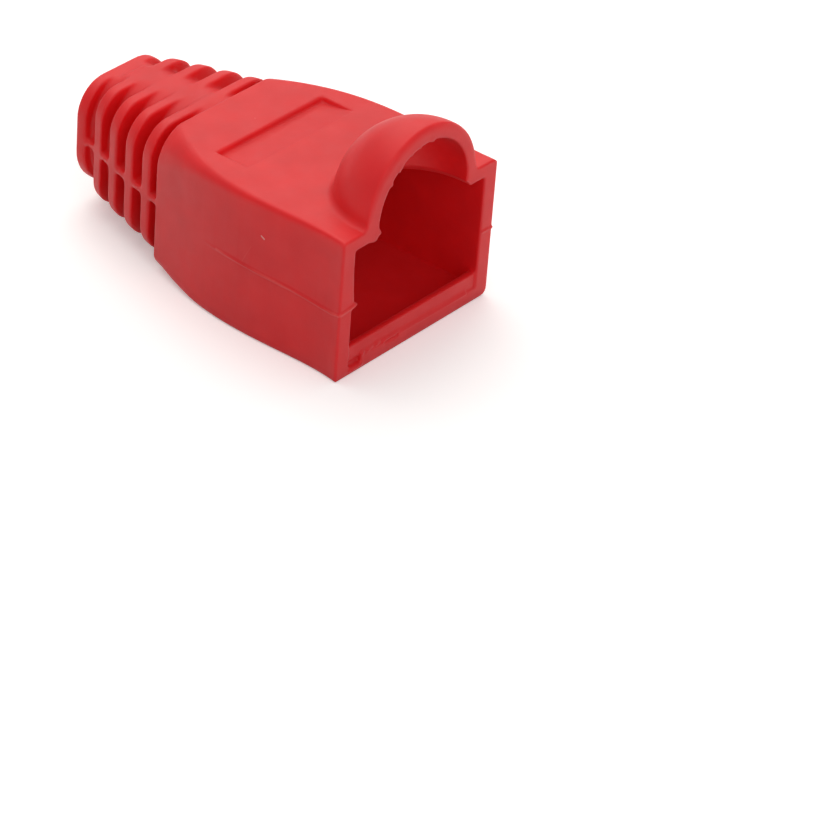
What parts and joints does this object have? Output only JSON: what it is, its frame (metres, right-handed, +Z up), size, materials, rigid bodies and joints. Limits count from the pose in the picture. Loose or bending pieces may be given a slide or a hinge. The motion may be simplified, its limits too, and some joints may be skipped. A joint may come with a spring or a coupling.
{
  "type": "rj45 strain relief boot",
  "caption": "Soft one-piece boot for a modular plug: rectangular socket with a latch hood and a slotted, tapering tail with a round cable bore.",
  "frame": {"origin": "under the middle of the boot, on the surface that it rests on", "axes": "+Y from the open mouth towards the cable end, +Z up through the hood's top, X across the mouth"},
  "size_m": [0.014, 0.0242, 0.0144],
  "materials": {
    "soft_pvc": "matte red plasticised PVC with a fine moulded grain"
  },
  "bodies": {
    "root": {"boot": "soft_pvc"}
  },
  "joints": []
}
